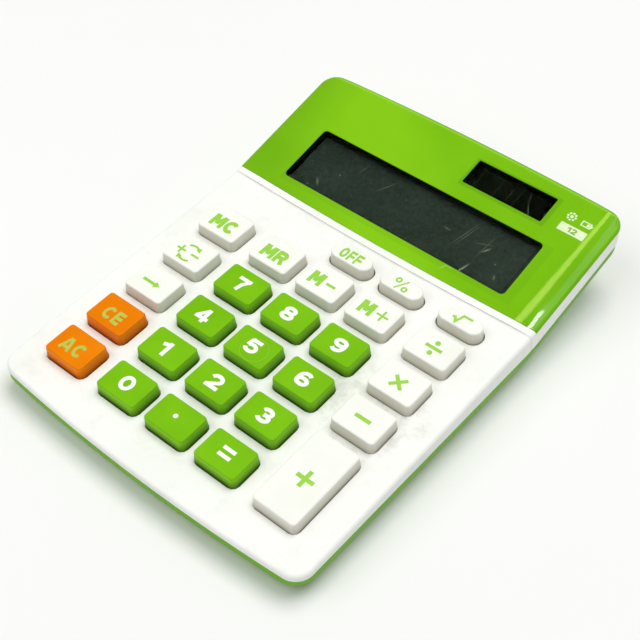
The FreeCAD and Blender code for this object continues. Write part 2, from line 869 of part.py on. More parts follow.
def make_solar_leads():
    under_cell = -seat_depth - solar_cell_thickness - lead_seat
    start = yz(display, solar_view_from_crease, under_cell)[:2]
    drop = yz(display, solar_view_from_crease, under_cell - solar_lead_drop)[:2]
    path = [start, drop] + lead_tail()
    return Part.Compound([lead(solar_view_x + side * solar_lead_reach, path) for side in (-1, 1)])


def make_battery_cell():
    return moved(Part.makeCylinder(cell_radius, cell_height), at(*cell_place()))


def make_battery_cover():
    door_x, screw_x, door_y = door_places()
    door_top = foot_height + door_thickness
    door = plate(door_length, door_width, foot_height, door_top, door_radius - door_gap)
    hole = bar(screw_hole_radius, 0, sky, screw_x, door_y)
    sink = bar(screw_head_radius + fit, 0, foot_height + screw_head_height, screw_x, door_y)
    return moved(door, at(door_x, door_y, 0)).cut([hole, sink])


def make_battery_cover_screw():
    _, screw_x, door_y = door_places()
    seat = foot_height + screw_head_height
    length = cell_place()[2] + cell_height - seat - wall
    return moved(screw(length), at(screw_x, door_y, seat))


def foot_places():
    front = side_pair(foot_front[0], y_front + foot_front[1])
    return front + side_pair(foot_back[0], y_back - foot_back[1])


def foot(radius, x, y):
    return Part.makeCylinder(radius, foot_height + foot_sink, V(x, y, 0))


def make_rubber_feet():
    return Part.Compound([foot(foot_radius, x, y) for x, y in foot_places()])


def build():
    form = body_form()
    keys = key_places()
    parts = {
        "upper_housing": make_upper_housing(form, keys),
        "lower_housing": make_lower_housing(),
        "display_panel": make_display_panel(form),
        "lcd_lens": make_lens(lcd_window),
        "solar_lens": make_lens(solar_window),
        "display_frame": make_display_frame(),
        "lcd_glass": lcd_window(glass_rim, glass_bottom, glass_top, 0),
        "lcd_holder": make_lcd_holder(),
        "lcd_ribbon": make_ribbon(),
        "solar_cell": solar_window(solar_cell_rim, -seat_depth - solar_cell_thickness, -seat_depth, 0),
        "solar_leads": make_solar_leads(),
        "rubber_keypad": make_rubber_keypad(keys),
        "main_board": make_main_board(keys),
        "chip_cover": make_chip_cover(),
        "board_screws": make_board_screws(),
        "case_screws": make_case_screws(),
        "battery_cell": make_battery_cell(),
        "battery_contact_minus": make_contact_minus(),
        "battery_contact_plus": make_contact_plus(),
        "battery_leads": make_battery_leads(),
        "battery_cover": make_battery_cover(),
        "battery_cover_screw": make_battery_cover_screw(),
        "rubber_feet": make_rubber_feet(),
    }
    for name, size, corner, x, s in keys:
        parts[name] = moved(moved(key_cap(size, corner), at(x, s, 0)), deck)
    return parts


os.makedirs("parts", exist_ok=True)
for node, shape in build().items():
    shape.exportStep("parts/" + node + ".step")
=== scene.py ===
"""Desk calculator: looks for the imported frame, with its floor, light and camera."""
import json
import math
from collections import namedtuple

import bmesh
import bpy
from mathutils import Matrix, Vector
from mathutils.geometry import delaunay_2d_cdt


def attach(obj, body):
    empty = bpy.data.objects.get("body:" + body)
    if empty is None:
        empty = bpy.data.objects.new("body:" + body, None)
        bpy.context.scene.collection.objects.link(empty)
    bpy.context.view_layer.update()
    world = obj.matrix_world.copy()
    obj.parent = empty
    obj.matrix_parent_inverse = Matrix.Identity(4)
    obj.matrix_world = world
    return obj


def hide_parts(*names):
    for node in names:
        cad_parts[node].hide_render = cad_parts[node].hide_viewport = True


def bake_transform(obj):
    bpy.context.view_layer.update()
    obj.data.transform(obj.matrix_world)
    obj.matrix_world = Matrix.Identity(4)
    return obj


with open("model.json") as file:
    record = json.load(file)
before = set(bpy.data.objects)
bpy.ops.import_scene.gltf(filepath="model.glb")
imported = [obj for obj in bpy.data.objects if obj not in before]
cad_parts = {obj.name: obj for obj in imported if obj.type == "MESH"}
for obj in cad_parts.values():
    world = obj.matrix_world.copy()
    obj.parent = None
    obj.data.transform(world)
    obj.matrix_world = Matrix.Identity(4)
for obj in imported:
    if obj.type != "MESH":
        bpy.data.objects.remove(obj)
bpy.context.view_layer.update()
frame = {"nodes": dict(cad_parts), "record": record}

# Sizes are in millimetres and turned into metres by MM. Angles are in degrees.
MM = 0.001
SLOPES = {"deck": 3.0, "display": 13.5}
WELD = 0.001
SHORTEST_EDGE = 0.0001

# Edges that turn by more than these angles stay sharp.
SKIN_ANGLE = 28.0
CAP_ANGLE = 50.0
RUBBER_ANGLE = 30.0
MARK_ANGLE = 20.0

# Display end: its step above the deck, the bowed crease in front of it and the crown of its top
DISPLAY_STEP = 0.55
CREASE_LEAD = 0.9
CREASE_SWING = 1511.3
PANEL_HALF = 58.82
CROWN_RUN = 13.0
CROWN_DROP = 0.5
BACK_SWING = 1441.0
LENS_FLANGE = 1.4
LENS_RIM = 1.0
UPRIGHT_LIMIT = 0.5
SOLAR_STRIPS = 4

# Painted light and shade on the panel: a painted bright band on a slant, painted shade at both sides, a
# painted highlight and a painted shade along the back edge, and painted reflections of the windows in its
# thickness, each with how far its sides lie from the window's
LIGHT_BAND_SLANT = 0.9
LIGHT_BAND_START = (-50.0, -6.0)
LIGHT_BAND_END = (14.0, 36.0)
LEFT_SHADE = (-58.0, -42.0)
RIGHT_SHADE = (50.0, 56.0)
BACK_HIGHLIGHT = (-1.7, -1.1)
BACK_EDGE_SHADE = (-0.9, -0.4)
LINE_SOFTNESS = 0.25
LCD_REFLECTION_REACH = (-0.3, -1.9, 3.4, 0.3)
SOLAR_REFLECTION_REACH = (-0.9, -1.3, 1.6, 0.6)

# Painted shade on the deck along the crease, and dirt round the minus and times keys
CREASE_SHADE = (-0.7, -0.15)
CREASE_SOFTNESS = 0.2
GRIME_CENTRE = (38.0, -50.0)
GRIME_REACH = (12.0, 34.0)

# Scratches: both ends on the display plane, the width and how strongly each shows
LCD_SCRATCHES = [
    ((25.1, 7.0), (27.1, 13.2), 0.7, 0.75),
    ((27.4, 18.2), (29.5, 21.4), 0.8, 0.4),
    ((17.3, 14.5), (21.2, 28.0), 0.4, 0.22),
    ((18.6, 15.5), (21.9, 27.5), 0.4, 0.2),
    ((26.8, 14.5), (28.2, 26.5), 0.4, 0.16),
    ((23.0, 20.0), (30.5, 22.8), 0.5, 0.16),
    ((-15.8, 18.0), (-10.3, 27.0), 0.4, 0.2),
    ((-24.6, 21.5), (-22.9, 27.0), 0.5, 0.14),
    ((11.6, 20.2), (15.0, 20.0), 0.8, 0.2),
    ((35.7, 14.0), (36.6, 11.6), 0.9, 0.25),
    ((33.5, 17.2), (33.9, 16.6), 0.5, 0.4),
    ((-35.0, 14.0), (-32.5, 11.0), 1.0, 0.2),
    ((-36.4, 10.2), (-35.4, 9.6), 0.8, 0.25),
    ((-29.5, 18.9), (-28.4, 18.2), 0.8, 0.22),
]
SOLAR_SCRATCHES = [
    ((28.1, 46.0), (29.9, 40.2), 0.45, 0.28),
    ((29.5, 41.2), (33.0, 35.6), 0.55, 0.4),
    ((23.2, 46.0), (22.8, 36.0), 0.5, 0.1),
    ((13.6, 45.6), (16.4, 42.6), 0.9, 0.06),
]
PANEL_SCRATCHES = [((21.4, 4.6), (23.0, 7.2), 0.5, 0.6), ((22.2, 6.7), (26.0, 7.0), 0.4, 0.4)]
PANEL_CRACKS = [((56.0, 49.6), (57.4, 46.4), 0.25, 0.7), ((57.1, 47.6), (57.9, 46.9), 0.2, 0.6)]

# Streaks on the display: the turn of each set and how strongly it shows
LCD_STREAKS = ((-18.0, 0.5), (24.0, 0.35), (-62.0, 0.25))
STREAK_SIZE = 0.9
STREAK_STRETCH = 22.0
STREAK_LIMITS = (0.69, 0.76)

# Solar cell: the line in each strip, and the strips from its right where it turns darker
SOLAR_LINE = (0.46, 0.54)
SOLAR_LINE_SOFTNESS = 0.02
SOLAR_DARK = (1.55, 1.5)

# Surfaces: limits between which a noise goes from none to full, and the size and depth of a grain
SOFT = (0.3, 0.7)
FIRM = (0.35, 0.65)
WORN_EDGE = (0.52, 0.62)
WEAR = 0.5
UNEVEN_GLOSS = 0.06
FINE_GRAIN = (0.35, 0.002)
COARSE_GRAIN = (0.6, 0.02)
WEAVE = 0.8

# Key caps
KEY_HEIGHT = 4.15
KEY_BEVEL = 0.4
KEY_FILLET = 0.5
KEY_FILLET_STEPS = 5
KEY_CORNER = 1.5
KEY_CORNER_STEPS = 7
OVALS = ("key_off", "key_percent", "key_root")
OVAL_CORNER = 3.15
KEY_DISH = 0.06
KEY_WALL = 1.2
KEY_ROOF = 1.4
FLANGE_THICKNESS = 0.8
POST_WIDTH = 3.2
POST_DROP = 0.4
SMALLEST_CORNER = 0.4
LEVEL_SLACK = 0.05
DOME_REACH = 4.2
# Painted shading of key walls: levels over the deck where the painted shade at the foot fades out, and where
# the painted wall tone gives way to the plain top
FOOT_SHADE_SPAN = (0.1, 3.3)
WALL_SHADING_SPAN = (3.5, 3.9)
KEY_SHINE = 0.05
KEY_ROUGHNESS = 0.32

# Caps as photographed: narrower than their solids and further left, with the far edge where it was.
# The openings round them follow.
CAP_HALF = 7.7
CAP_TRIM = 0.37
OVAL_TRIM = 0.2
CAP_SHIFT = -0.6
LAST_COLUMN = 30.0
LAST_COLUMN_SHIFT = -0.3
OPENING_GAP = 0.35
OPENING_REACH = 0.6
OPENING_DEPTH = 2.0

# Joining of flat drawings: the kind of triangles asked for, distances that count as none,
# and the turn in radians that counts as flat
INSIDE_FACES = 1
SAME_POINT = 1e-6
MERGE_DISTANCE = 1e-4
FLAT_TURN = 0.01

# Legends: levels about the top of a key, the step of a curve, sizes of letters, and inks by kind of key
LEGEND_PROUD = 0.03
LEGEND_SUNK = 0.05
BOW_STEP = 15
DIGIT_WIDTH = 4.7
DIGIT_HEIGHT = 5.35
ONE_WIDTH = 3.2
BOLD_HEIGHT = 5.1
SIGN_PEN = 0.72
LEGEND_INKS = {"key_green": "ink_white", "key_white": "ink_green", "key_orange": "ink_pale_green"}
RING_RADII = (4.4, 4.2)
RING_PLACE = (0.5, -0.4)
RING_PEN = 0.22

# Marks on the panel, with their places on the display plane
SUN_PLACE = (44.4, 42.7)
SUN_RAYS = 8
SUN_RADIUS = 1.3
SUN_DOT = 0.55
SUN_RAY_DOT = 0.38
BATTERY_PLACE = (50.0, 42.4)
PLATE_PLACE = (47.3, 38.1)
PLATE_SIZE = (9.2, 3.2)
PLATE_COLUMNS = 12
PLATE_NUMBER = "12"
NUMBER_SIZE = (3.2, 2.0)

# Floor and lights. Each light has its place, its size, its watts, its turn about the upright and its tint.
FLOOR_HALF = 3000.0
ROOM_LIGHT = 0.36
WHITE = (1.0, 1.0, 1.0)
LIGHTS = {
    "overhead": ((350.0, 600.0, 2000.0), (1400.0, 1400.0), 28.0, 0.0, (0.955, 0.945, 1.0)),
    "fill": ((-500.0, -900.0, 1100.0), (1200.0, 1200.0), 8.0, 0.0, WHITE),
    "strip": ((-292.0, 450.0, 1400.0), (45.0, 360.0), 1.3, -4.8, (0.9, 1.0, 0.27)),
    "glint": ((-229.0, 345.0, 1400.0), (20.0, 50.0), 0.25, 0.0, WHITE),
}

# Camera
CAMERA_PLACE = Vector((163.7, -193.87, 279.12))
CAMERA_TARGET = Vector((5.99, -6.19, 14.78))
SENSOR = 36.0
LENS = 68.5
CLIP_START = 10.0


def linear(code):
    """Linear colour from a six-digit sRGB code."""
    channels = [int(code[i : i + 2], 16) / 255 for i in (0, 2, 4)]
    return tuple(c / 12.92 if c <= 0.04045 else ((c + 0.055) / 1.055) ** 2.4 for c in channels) + (1.0,)


def vertices(node):
    return [v.co for v in frame["nodes"][node].data.vertices]


def find_crease():
    """Y and Z of the line on the deck where the display plane starts, a step above it."""
    deck_slope = math.radians(SLOPES["deck"])
    key_tops = [v.z - v.y * math.tan(deck_slope) for v in vertices("key_5")]
    cap_top = max(key_tops) * math.cos(deck_slope)
    deck_level = (cap_top - KEY_HEIGHT * MM) / math.cos(deck_slope)
    display_slope = math.radians(SLOPES["display"])
    display_level = max(v.z - v.y * math.tan(display_slope) for v in vertices("display_panel"))
    rise = deck_level + DISPLAY_STEP * MM - display_level
    y = rise / (math.tan(display_slope) - math.tan(deck_slope))
    return y, deck_level + y * math.tan(deck_slope)


CREASE_Y, CREASE_Z = find_crease()


def plane(name, step):
    """Frame of the deck or the display: X across, Y up the slope from the crease, Z out of it."""
    tilt = Matrix.Rotation(math.radians(SLOPES[name]), 4, "X")
    return Matrix.Translation((0, CREASE_Y, CREASE_Z + step * MM)) @ tilt


DECK = plane("deck", 0.0)
DISPLAY = plane("display", DISPLAY_STEP)


# Node helpers


def new_material(name):
    material = bpy.data.materials.new(name)
    material.use_nodes = True
    return material, material.node_tree, material.node_tree.nodes["Principled BSDF"]


def feed(tree, node, sockets):
    """Fills the sockets of a node, each from a value or by a link."""
    for key, value in sockets.items():
        if isinstance(value, bpy.types.NodeSocket):
            tree.links.new(value, node.inputs[key])
        else:
            node.inputs[key].default_value = value


def add(tree, kind, sockets=None, **settings):
    """New node with its settings, and its sockets given as values or as links."""
    node = tree.nodes.new(kind)
    for key, value in settings.items():
        setattr(node, key, value)
    feed(tree, node, sockets or {})
    return node


def object_place(tree):
    return add(tree, "ShaderNodeTexCoord").outputs["Object"]


def noise(tree, place, size_mm, detail=4.0, rough=0.5):
    sockets = {"Vector": place, "Scale": 1 / (size_mm * MM), "Detail": detail, "Roughness": rough}
    return add(tree, "ShaderNodeTexNoise", sockets).outputs["Fac"]


def spread(tree, value, low, high, to_low=0.0, to_high=1.0):
    """Value mapped from two limits to a range, and held at its ends."""
    sockets = {"Value": value, "From Min": low, "From Max": high, "To Min": to_low, "To Max": to_high}
    return add(tree, "ShaderNodeMapRange", sockets, clamp=True).outputs["Result"]


def patches(tree, place, size_mm, limits=SOFT, to=(0.0, 1.0), detail=4.0, rough=0.5):
    """Patches of noise of about a size, mapped from two limits to a range."""
    return spread(tree, noise(tree, place, size_mm, detail, rough), *limits, *to)


def mixed(tree, factor, first, second):
    """Colour between two others. The sockets go by number, because several share a name."""
    sockets = {0: factor, 6: first, 7: second}
    return add(tree, "ShaderNodeMix", sockets, data_type="RGBA").outputs[2]


def layered(tree, colour, *layers):
    """Colour under layers, each with how far it covers and its colour code."""
    for amount, code in layers:
        colour = mixed(tree, amount, colour, linear(code))
    return colour


def maths(tree, operation, first, second=0.0):
    return add(tree, "ShaderNodeMath", {0: first, 1: second}, operation=operation).outputs[0]


def times(tree, first, second):
    return maths(tree, "MULTIPLY", first, second)


def inside(tree, value, low, high, soft):
    """One between two limits, with soft ends."""
    rise = spread(tree, value, low - soft, low + soft)
    fall = spread(tree, value, high - soft, high + soft, 1.0, 0.0)
    return times(tree, rise, fall)


def block(tree, across, along, box, soft):
    """One inside a box, with soft sides."""
    x0, s0, x1, s1 = box
    return times(tree, inside(tree, across, x0, x1, soft), inside(tree, along, s0, s1, soft))


def bowed(tree, across, swing):
    """How far a bow with a radius falls back at a distance across."""
    return maths(tree, "DIVIDE", times(tree, across, across), 2 * swing)


def plane_place(tree, flat):
    """Place in the millimetres of a plane, as one socket."""
    back = flat.inverted()
    sockets = {
        "Vector": object_place(tree),
        "Location": back.to_translation() / MM,
        "Rotation": back.to_euler(),
        "Scale": (1 / MM,) * 3,
    }
    return add(tree, "ShaderNodeMapping", sockets).outputs["Vector"]


def deck_height(tree):
    """Millimetres above the deck."""
    return add(tree, "ShaderNodeSeparateXYZ", {"Vector": plane_place(tree, DECK)}).outputs["Z"]


def display_place(tree):
    """Millimetres across and up the display plane, as two sockets."""
    axes = add(tree, "ShaderNodeSeparateXYZ", {"Vector": plane_place(tree, DISPLAY)})
    return axes.outputs["X"], axes.outputs["Y"]


def dress(tree, shader, colour, gloss, relief, depth_mm, shine=0.5):
    """Gives a shader its colour, its roughness, a relief of a depth and how strongly it shines."""
    height = {"Height": relief, "Distance": depth_mm * MM, "Strength": 1.0}
    normal = add(tree, "ShaderNodeBump", height).outputs["Normal"]
    looks = {"Base Color": colour, "Roughness": gloss, "Normal": normal, "Specular IOR Level": shine}
    feed(tree, shader, looks)


# Materials


def moulded_plastic(name, light, dark, worn, roughness, grain=FINE_GRAIN, shine=0.15, walls=None):
    """Moulded plastic with cloudy colour, a fine grain, uneven gloss and rubbed edges.
    With two colours for its walls it paints light and shade on them: the first below its top, a painted wall
    tone, and the second down at the deck, a painted shade."""
    material, tree, shader = new_material(name)
    place = object_place(tree)
    colour = mixed(tree, patches(tree, place, 14.0, FIRM), linear(light), linear(dark))
    pointed = add(tree, "ShaderNodeNewGeometry").outputs["Pointiness"]
    colour = layered(tree, colour, (spread(tree, pointed, *WORN_EDGE, 0.0, WEAR), worn))
    # Painted light and shade on the walls of a key, darkest at its foot
    if walls:
        side, foot = walls
        height = deck_height(tree)
        wall_shading_cover = spread(tree, height, *WALL_SHADING_SPAN, 1.0, 0.0)
        foot_shade_cover = spread(tree, height, *FOOT_SHADE_SPAN, 0.9, 0.0)
        colour = layered(tree, colour, (wall_shading_cover, side), (foot_shade_cover, foot))
    gloss = patches(tree, place, 3.0, to=(roughness - UNEVEN_GLOSS, roughness + UNEVEN_GLOSS))
    grain_mm, depth_mm = grain
    dress(tree, shader, colour, gloss, noise(tree, place, grain_mm, detail=2.0), depth_mm, shine)
    return material


def white_housing():
    """White plastic with faint clouds, specks, grime among the right keys and a painted shade along the
    crease.
    """
    material, tree, shader = new_material("white_housing")
    place = object_place(tree)
    smudge = times(tree, noise(tree, place, 6.0, detail=6.0, rough=0.65), grime_zone(tree, place))
    uneven = patches(tree, place, 5.0, limits=(0.3, 0.6), to=(0.3, 0.7))
    colour = layered(
        tree,
        mixed(tree, patches(tree, place, 22.0, FIRM), linear("f6f7f3"), linear("f0f2ec")),
        (patches(tree, place, 1.1, limits=(0.735, 0.77), to=(0.0, 0.5), detail=3.0, rough=0.6), "b9bcae"),
        (patches(tree, place, 7.0, limits=(0.52, 0.72), to=(0.0, 0.35), detail=6.0, rough=0.7), "dddfd8"),
        (spread(tree, smudge, 0.42, 0.62, 0.0, 0.4), "aeb0a2"),
        # Painted shade along the crease
        (times(tree, crease_shade(tree), uneven), "d6d7cf"),
    )
    gloss = patches(tree, place, 4.0, to=(0.4, 0.52))
    dress(tree, shader, colour, gloss, noise(tree, place, 0.4, detail=2.0), 0.003, shine=0.3)
    return material


def crease_shade(tree):
    """One along the foot of the bowed step in front of the display end, where the painted shade lies."""
    across, along = display_place(tree)
    step = maths(tree, "SUBTRACT", bowed(tree, across, CREASE_SWING), CREASE_LEAD)
    return inside(tree, maths(tree, "SUBTRACT", along, step), *CREASE_SHADE, CREASE_SOFTNESS)


def grime_zone(tree, place):
    """One round the minus and times keys, falling to nothing away from them."""
    centre = DECK @ (Vector((*GRIME_CENTRE, 0.0)) * MM)
    offset = add(tree, "ShaderNodeVectorMath", {0: place, 1: centre}, operation="SUBTRACT").outputs["Vector"]
    length = add(tree, "ShaderNodeVectorMath", {0: offset}, operation="LENGTH").outputs["Value"]
    near, far = GRIME_REACH
    return spread(tree, length, near * MM, far * MM, 1.0, 0.0)


def panel_light_and_shade(tree, across, along):
    """Green of the panel with painted light and shade: brightest in a painted band on a slant, and darker at
    both sides as painted shade.
    """
    slant = maths(tree, "ADD", across, times(tree, along, LIGHT_BAND_SLANT))
    return layered(
        tree,
        linear("6dac0e"),
        (spread(tree, slant, *LIGHT_BAND_START), "82c313"),
        (spread(tree, slant, *LIGHT_BAND_END), "76b80e"),
        (spread(tree, across, *LEFT_SHADE, 0.8, 0.0), "6dac0e"),
        (spread(tree, across, *RIGHT_SHADE, 0.0, 0.6), "66a80b"),
    )


def panel_green():
    """Glossy panel with painted light and shade, painted reflections of its windows, a painted highlight and
    a painted shade along its back edge, and scratches.
    """
    material, tree, shader = new_material("panel_green")
    across, along = display_place(tree)
    place = object_place(tree)
    reach = maths(tree, "ADD", along, bowed(tree, across, BACK_SWING))
    back_highlight = inside(tree, reach, *(PANEL_BACK + side for side in BACK_HIGHLIGHT), LINE_SOFTNESS)
    colour = layered(
        tree,
        # Painted light and shade across the panel
        panel_light_and_shade(tree, across, along),
        (patches(tree, place, 18.0, limits=(0.4, 0.7), to=(0.0, 0.2)), "8bd01f"),
        # Painted reflections of the two windows in the panel's thickness
        (times(tree, block(tree, across, along, LCD_REFLECTION, LINE_SOFTNESS), 0.16), "4f9208"),
        (times(tree, block(tree, across, along, SOLAR_REFLECTION, LINE_SOFTNESS), 0.4), "4f9208"),
        # Painted highlight and painted shade along the back edge
        (times(tree, back_highlight, 0.45), "a2dc46"),
        (spread(tree, reach, *(PANEL_BACK + side for side in BACK_EDGE_SHADE), 0.0, 0.8), "4b860a"),
    )
    colour = scratched(tree, colour, PANEL_SCRATCHES, "b4e070")
    colour = scratched(tree, colour, PANEL_CRACKS, "2f5a06")
    gloss = patches(tree, place, 9.0, to=(0.02, 0.05))
    dress(tree, shader, colour, gloss, noise(tree, place, 2.5, detail=2.0), 0.0002, shine=0.1)
    return material


def scratch(tree, start, end, width):
    """One along a straight scratch between two points of the display plane, thinner at its ends."""
    run = Vector(end) - Vector(start)
    sockets = {
        "Vector": plane_place(tree, DISPLAY),
        "Location": (*start, 0.0),
        "Rotation": (0.0, 0.0, math.atan2(run.y, run.x)),
    }
    turned = add(tree, "ShaderNodeMapping", sockets, vector_type="TEXTURE").outputs["Vector"]
    axes = add(tree, "ShaderNodeSeparateXYZ", {"Vector": turned})
    aside = spread(tree, maths(tree, "ABSOLUTE", axes.outputs["Y"]), width / 6, width / 2, 1.0, 0.0)
    quarter = run.length / 4
    return times(tree, aside, inside(tree, axes.outputs["X"], quarter, 3 * quarter, quarter))


def scratched(tree, colour, rows, code):
    """Colour crossed by scratches, each with its ends, its width and how strongly it shows."""
    for start, end, width, amount in rows:
        colour = layered(tree, colour, (times(tree, scratch(tree, start, end, width), amount), code))
    return colour


def streaks(tree, turn):
    """Fine streaks: a noise drawn out along one direction."""
    sockets = {
        "Vector": object_place(tree),
        "Rotation": (0.0, 0.0, math.radians(turn)),
        "Scale": (1.0, 1.0 / STREAK_STRETCH, 1.0),
    }
    drawn = add(tree, "ShaderNodeMapping", sockets).outputs["Vector"]
    return patches(tree, drawn, STREAK_SIZE, STREAK_LIMITS, detail=5.0, rough=0.6)


def lcd_face():
    """Dark grey-green display with a cloudy sheen, worn by fine scratches and dust."""
    material, tree, shader = new_material("lcd_face")
    place = object_place(tree)
    cloud = patches(tree, place, 16.0, detail=5.0)
    colour = layered(
        tree,
        mixed(tree, cloud, linear("1c241e"), linear("28322b")),
        (patches(tree, place, 1.4, FIRM, to=(0.0, 0.2), detail=6.0, rough=0.75), "636f64"),
        *[(times(tree, streaks(tree, turn), amount), "7d8876") for turn, amount in LCD_STREAKS],
        (patches(tree, place, 0.9, limits=(0.76, 0.8), to=(0.0, 0.5), detail=2.0), "9aa08c"),
    )
    colour = scratched(tree, colour, LCD_SCRATCHES, "c9c4a8")
    gloss = spread(tree, cloud, 0.0, 1.0, 0.3, 0.42)
    dress(tree, shader, colour, gloss, noise(tree, place, 0.5, detail=2.0), 0.001, shine=0.05)
    return material


def solar_face():
    """Near-black cell with the thin lines that part its strips, darkest at its right."""
    material, tree, shader = new_material("solar_face")
    across, _ = display_place(tree)
    strip = maths(tree, "FRACT", maths(tree, "DIVIDE", across, SOLAR_STRIP))
    line = times(tree, inside(tree, strip, *SOLAR_LINE, SOLAR_LINE_SOFTNESS), 0.35)
    darker = [SOLAR_BOX[2] - share * SOLAR_STRIP for share in SOLAR_DARK]
    cloud = patches(tree, object_place(tree), 7.0)
    colour = layered(
        tree,
        mixed(tree, cloud, linear("080d05"), linear("0f150a")),
        (line, "2e3a2a"),
        (spread(tree, across, *darker, 0.0, 0.75), "030501"),
    )
    colour = scratched(tree, colour, SOLAR_SCRATCHES, "8f9c8c")
    dress(tree, shader, colour, spread(tree, cloud, 0.0, 1.0, 0.18, 0.3), line, 0.004, shine=0.02)
    return material


def clear_plastic():
    """Clear window insert, faintly uneven and rubbed, with little mirror of its own."""
    material, tree, shader = new_material("clear_plastic")
    place = object_place(tree)
    tint = mixed(tree, patches(tree, place, 20.0), linear("f7fbf8"), linear("eef5f0"))
    haze = patches(tree, place, 8.0, limits=(0.35, 0.7), to=(0.0, 0.02))
    feed(tree, shader, {"Base Color": tint, "Roughness": haze, "Transmission Weight": 1.0, "IOR": 1.06})
    return material


def metal(name, light, dark, roughness):
    """Bright metal with fine mottling and uneven gloss."""
    material, tree, shader = new_material(name)
    mottle = patches(tree, object_place(tree), 0.5)
    colour = mixed(tree, mottle, linear(light), linear(dark))
    gloss = spread(tree, mottle, 0.0, 1.0, roughness - 0.05, roughness + 0.1)
    dress(tree, shader, colour, gloss, mottle, 0.004)
    feed(tree, shader, {"Metallic": 1.0})
    return material


def circuit_board():
    """Brown laminate with green resist and a faint weave."""
    material, tree, shader = new_material("circuit_board")
    place = object_place(tree)
    weave = add(tree, "ShaderNodeTexChecker", {"Vector": place, "Scale": 1 / (WEAVE * MM)}).outputs["Fac"]
    cloud = patches(tree, place, 10.0)
    colour = mixed(tree, cloud, linear("5c5a2c"), linear("4c5a2a"))
    colour = layered(tree, colour, (times(tree, weave, 0.15), "8c8450"))
    dress(tree, shader, colour, spread(tree, cloud, 0.0, 1.0, 0.4, 0.55), weave, 0.004)
    return material


def printed_ink(name, light, dark):
    """Screen-printed ink with slightly uneven cover."""
    material, tree, shader = new_material(name)
    place = object_place(tree)
    cover = patches(tree, place, 1.2)
    colour = mixed(tree, cover, linear(light), linear(dark))
    gloss = spread(tree, cover, 0.0, 1.0, 0.35, 0.5)
    dress(tree, shader, colour, gloss, noise(tree, place, 0.3, detail=2.0), 0.003)
    return material


def floor_paper():
    """Plain pale paper without shine."""
    material, tree, shader = new_material("floor_paper")
    place = object_place(tree)
    colour = mixed(tree, patches(tree, place, 300.0), linear("f3f3f2"), linear("f0f0ef"))
    dress(tree, shader, colour, 0.9, noise(tree, place, 3.0), 0.02, shine=0.0)
    return material


# Windows as boxes in display millimetres, read from the frame


def flat_points(node, place):
    """Corners of a node in the millimetres of a plane."""
    inverse = place.inverted()
    return [(inverse @ v) / MM for v in vertices(node)]


def flat_box(node, place):
    """Lowest and highest corner of a node in the millimetres of a plane."""
    points = flat_points(node, place)
    low = Vector([min(p[i] for p in points) for i in range(3)])
    high = Vector([max(p[i] for p in points) for i in range(3)])
    return low, high


def window_box(node):
    """X and Y limits of the see-through part of a lens."""
    low, high = flat_box(node, DISPLAY)
    return low.x + LENS_FLANGE, low.y + LENS_FLANGE, high.x - LENS_FLANGE, high.y - LENS_FLANGE


def grown(box, reach):
    """Box with each of its sides moved by a reach of its own."""
    return tuple(side + by for side, by in zip(box, reach))


SOLAR_BOX = window_box("solar_lens")
SOLAR_STRIP = (SOLAR_BOX[2] - SOLAR_BOX[0]) / SOLAR_STRIPS
# Boxes of the painted reflections of the windows in the panel
SOLAR_REFLECTION = grown(SOLAR_BOX, SOLAR_REFLECTION_REACH)
LCD_REFLECTION = grown(window_box("lcd_lens"), LCD_REFLECTION_REACH)
PANEL_BACK = flat_box("display_panel", DISPLAY)[1].y


# Mesh helpers


def new_object(name, data):
    """Object that is linked to the scene."""
    made = bpy.data.objects.new(name, data)
    bpy.context.scene.collection.objects.link(made)
    return made


def paint(mesh, material):
    mesh.materials.clear()
    mesh.materials.append(material)


def loose_piece(name, mesh, material, nodes=()):
    """Object with its material and the nodes it stands for, on no body yet."""
    piece = new_object(name, mesh)
    paint(mesh, material)
    if nodes:
        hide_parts(*nodes)
    return piece


def finish_piece(name, mesh, body, material, nodes=()):
    """Object that rides on a body, with its material and the nodes it stands for."""
    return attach(loose_piece(name, mesh, material, nodes), body)


def to_mesh(name, shape, smooth_angle):
    """Mesh from a bmesh, smooth apart from edges that turn by more than the angle."""
    bmesh.ops.recalc_face_normals(shape, faces=shape.faces)
    for face in shape.faces:
        face.smooth = True
    for edge in shape.edges:
        edge.smooth = len(edge.link_faces) == 2 and edge.calc_face_angle() < math.radians(smooth_angle)
    mesh = bpy.data.meshes.new(name)
    shape.to_mesh(mesh)
    shape.free()
    return mesh


def weighted(piece):
    """Piece whose normals follow its large faces, with sharp edges kept."""
    modifier = piece.modifiers.new("even_normals", "WEIGHTED_NORMAL")
    modifier.keep_sharp = True
    return piece


def welded(node):
    """Bmesh of a node, with its doubled corners joined."""
    shape = bmesh.new()
    shape.from_mesh(frame["nodes"][node].data)
    bmesh.ops.remove_doubles(shape, verts=shape.verts, dist=WELD * MM)
    return shape


def smooth_copy(node, material, fit=None):
    """Smooth-shaded copy of a node that stands for it, after a change of fit if there is one."""
    shape = welded(node)
    bmesh.ops.dissolve_degenerate(shape, dist=SHORTEST_EDGE * MM, edges=shape.edges)
    if fit:
        fit(shape)
    mesh = to_mesh(node + "_skin", shape, SKIN_ANGLE)
    return weighted(finish_piece(node + "_skin", mesh, "body", material, [node]))


def frame_and_shade_rim(piece, node, material):
    """Second material on the upright faces round the rim of a lens: black, partly the dark frame under the
    window and partly painted shade in its recess.
    """
    normal = DISPLAY.to_3x3() @ Vector((0, 0, 1))
    x0, s0, x1, s1 = window_box(node)
    piece.data.materials.append(material)
    for face in piece.data.polygons:
        place = DISPLAY.inverted() @ face.center / MM
        within_x = x0 + LENS_RIM < place.x < x1 - LENS_RIM
        within_s = s0 + LENS_RIM < place.y < s1 - LENS_RIM
        if abs(face.normal.dot(normal)) < UPRIGHT_LIMIT and not (within_x and within_s):
            face.material_index = 1


# Shapes of the keys


